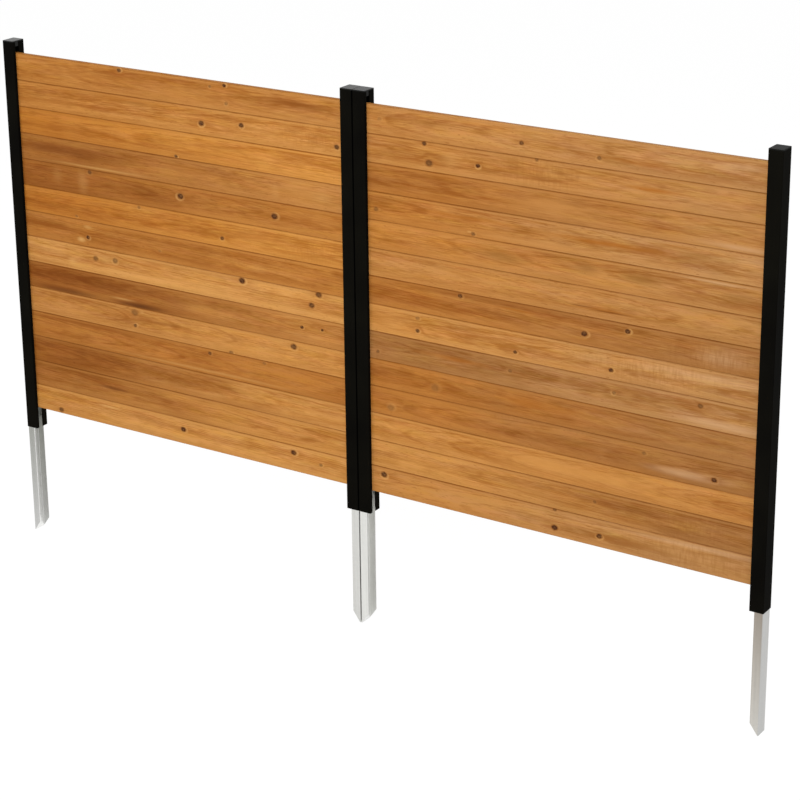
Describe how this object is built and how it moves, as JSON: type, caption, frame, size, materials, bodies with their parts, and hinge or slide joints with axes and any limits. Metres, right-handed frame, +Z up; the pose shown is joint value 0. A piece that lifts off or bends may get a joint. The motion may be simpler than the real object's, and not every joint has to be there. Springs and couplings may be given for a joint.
{
  "type": "wooden privacy screen",
  "caption": "Outdoor privacy screen of horizontal tongue-and-groove wood boards held in slotted black steel posts on galvanised ground stakes.",
  "frame": {"origin": "middle of the screen, on the ground line at the lower ends of the posts, on the front faces of the posts", "axes": "+X along the screen to the right as seen from the front, +Y from the front to the back, +Z up"},
  "size_m": [2.48, 0.0533, 1.5642],
  "materials": {
    "stained_softwood": "honey-stained knotty softwood, satin",
    "black_powder_coat": "black powder coat, satin",
    "black_plastic": "moulded black plastic",
    "galvanised_steel": "galvanised sheet",
    "zinc_plated_steel": "zinc-plated"
  },
  "bodies": {
    "root": {"left_panel_board_01": "stained_softwood", "left_panel_board_02": "stained_softwood", "left_panel_board_03": "stained_softwood", "left_panel_board_04": "stained_softwood", "left_panel_board_05": "stained_softwood", "left_panel_board_06": "stained_softwood", "left_panel_board_07": "stained_softwood", "left_panel_board_08": "stained_softwood", "left_panel_board_09": "stained_softwood", "left_panel_board_10": "stained_softwood", "left_panel_board_11": "stained_softwood", "left_panel_board_12": "stained_softwood", "left_panel_board_13": "stained_softwood", "left_panel_board_14": "stained_softwood", "right_panel_board_01": "stained_softwood", "right_panel_board_02": "stained_softwood", "right_panel_board_03": "stained_softwood", "right_panel_board_04": "stained_softwood", "right_panel_board_05": "stained_softwood", "right_panel_board_06": "stained_softwood", "right_panel_board_07": "stained_softwood", "right_panel_board_08": "stained_softwood", "right_panel_board_09": "stained_softwood", "right_panel_board_10": "stained_softwood", "right_panel_board_11": "stained_softwood", "right_panel_board_12": "stained_softwood", "right_panel_board_13": "stained_softwood", "right_panel_board_14": "stained_softwood", "left_end_post": "black_powder_coat", "left_end_cap": "black_plastic", "left_end_stake": "galvanised_steel", "left_middle_post": "black_powder_coat", "left_middle_cap": "black_plastic", "left_middle_stake": "galvanised_steel", "right_middle_post": "black_powder_coat", "right_middle_cap": "black_plastic", "right_middle_stake": "galvanised_steel", "right_end_post": "black_powder_coat", "right_end_cap": "black_plastic", "right_end_stake": "galvanised_steel", "board_stop_screws": "zinc_plated_steel", "stake_screws": "zinc_plated_steel", "joining_bolts": "zinc_plated_steel", "joining_nuts": "zinc_plated_steel"}
  },
  "joints": []
}
